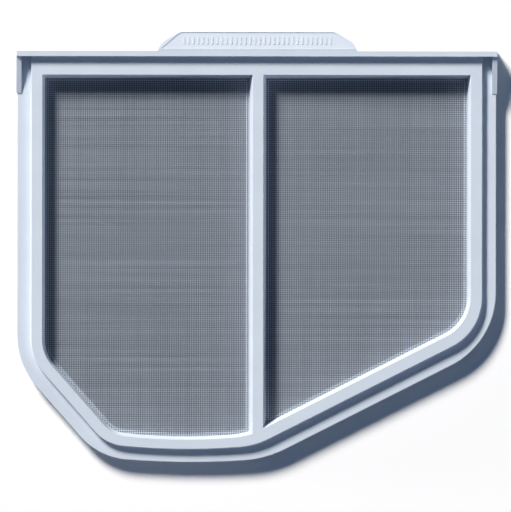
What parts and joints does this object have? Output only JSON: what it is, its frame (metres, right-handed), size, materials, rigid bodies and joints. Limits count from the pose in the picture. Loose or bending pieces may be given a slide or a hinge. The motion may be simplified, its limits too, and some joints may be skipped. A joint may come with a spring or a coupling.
{
  "type": "tumble dryer lint filter",
  "caption": "Flat lint filter for a tumble dryer: a white moulded frame with a sloped lower edge, a top flange with a pull tab, and fine woven mesh either side of a centre bar.",
  "frame": {"origin": "under the middle of the filter's box, on the plane that its back lies on", "axes": "+X along the top flange, +Y towards the pull tab, +Z out of the front face where the lint gathers"},
  "size_m": [0.305, 0.273, 0.0159],
  "materials": {
    "moulding": "satin injection-moulded plastic",
    "mesh": "plain woven monofilament mesh"
  },
  "bodies": {
    "root": {"frame": "moulding", "mesh_left": "mesh", "mesh_right": "mesh"}
  },
  "joints": []
}
